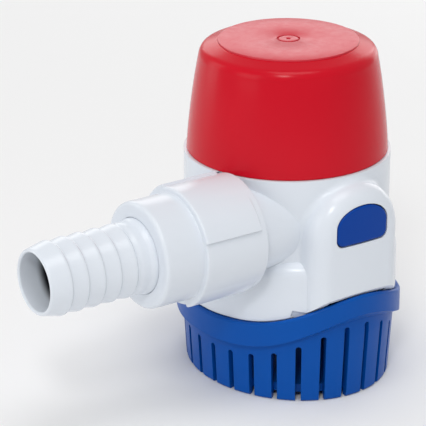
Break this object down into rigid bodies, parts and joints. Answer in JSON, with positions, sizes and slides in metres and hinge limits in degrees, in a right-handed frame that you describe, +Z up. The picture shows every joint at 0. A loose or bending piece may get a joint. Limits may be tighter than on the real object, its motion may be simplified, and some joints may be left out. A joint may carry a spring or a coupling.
{
  "type": "bilge pump",
  "caption": "Submersible bilge pump: oval slotted strainer foot with side release pads, white housing, domed motor cap, and a barbed hose tail on a union nut with a check valve.",
  "frame": {"origin": "centre of the strainer's underside, on the motor's axis", "axes": "+Z up along the motor's axis, +X along the discharge towards the hose mouth, +Y towards the side that the discharge is offset to"},
  "size_m": [0.1292, 0.0738, 0.1023],
  "materials": {
    "blue_plastic": "glossy moulded ABS, strainer blue",
    "white_plastic": "glossy moulded ABS, cool white",
    "red_plastic": "glossy moulded ABS, signal red",
    "cap_label": "satin printed disc, left plain",
    "stainless_steel": "turned stainless steel",
    "zinc_plated_steel": "drawn steel, zinc plated",
    "ferrite": "sintered ferrite, dark grey",
    "nylon": "moulded nylon, natural",
    "phosphor_bronze": "spring strip",
    "carbon": "pressed carbon",
    "brass": "stamped brass",
    "sintered_bronze": "oil-soaked sintered bronze",
    "black_rubber": "moulded nitrile rubber",
    "laminated_steel": "stacked laminations",
    "enamelled_copper": "enamelled copper wire",
    "copper": "turned copper",
    "black_acetal": "moulded acetal, black"
  },
  "bodies": {
    "strainer": {"strainer_base": "blue_plastic"},
    "tab_right": {"release_tab_right": "blue_plastic"},
    "tab_left": {"release_tab_left": "blue_plastic"},
    "pump": {"body_housing": "white_plastic", "volute_cover": "white_plastic", "cover_screws": "stainless_steel", "motor_cap": "red_plastic", "cap_label": "cap_label", "cap_seal": "black_rubber", "motor_can": "zinc_plated_steel", "field_magnets": "ferrite", "motor_end_cap": "nylon", "brush_arms": "phosphor_bronze", "brushes": "carbon", "terminals": "brass", "upper_bush": "sintered_bronze", "lower_bush": "sintered_bronze", "shaft_seal": "black_rubber", "seal_retainer": "stainless_steel", "cable_gland": "black_rubber", "outlet_gasket": "black_rubber"},
    "rotor": {"rotor_shaft": "stainless_steel", "armature_core": "laminated_steel", "armature_windings": "enamelled_copper", "commutator": "copper", "impeller": "black_acetal", "thrust_washer": "nylon"},
    "tail": {"hose_tail": "white_plastic", "valve_seat": "white_plastic", "flap_pin": "stainless_steel"},
    "nut": {"union_nut": "white_plastic"},
    "flap": {"check_flap": "black_rubber"}
  },
  "joints": [
    {"name": "pump_lift", "type": "slide", "parent": "strainer", "child": "pump", "axis": [0, 0, 1], "range_m": [0, 0.045], "deforming": ["release_tab_right", "release_tab_left"]},
    {"name": "tab_right_press", "type": "hinge", "parent": "strainer", "child": "tab_right", "pos_m": [-0.0007, 0.0309, 0.024], "axis": [1, 0, 0], "range_deg": [0, 4], "stiffness_Nm_per_rad": 0.6},
    {"name": "tab_left_press", "type": "hinge", "parent": "strainer", "child": "tab_left", "pos_m": [-0.0007, -0.0309, 0.024], "axis": [-1, 0, 0], "range_deg": [0, 4], "stiffness_Nm_per_rad": 0.6},
    {"name": "rotor_spin", "type": "hinge", "parent": "pump", "child": "rotor", "pos_m": [0, 0, 0.06], "axis": [0, 0, 1], "continuous": true},
    {"name": "tail_slide", "type": "slide", "parent": "pump", "child": "tail", "axis": [1, 0, 0], "range_m": [0, 0.00601]},
    {"name": "nut_turn", "type": "hinge", "parent": "tail", "child": "nut", "pos_m": [0.04, 0.014, 0.053], "axis": [1, 0, 0], "range_deg": [0, 1080]},
    {"name": "flap_swing", "type": "hinge", "parent": "tail", "child": "flap", "pos_m": [0.047, 0.014, 0.0618], "axis": [0, -1, 0], "range_deg": [0, 55]}
  ],
  "couplings": [
    {"joint": "tail_slide", "follows": "nut_turn", "m_per_rad": 0.00031831}
  ]
}
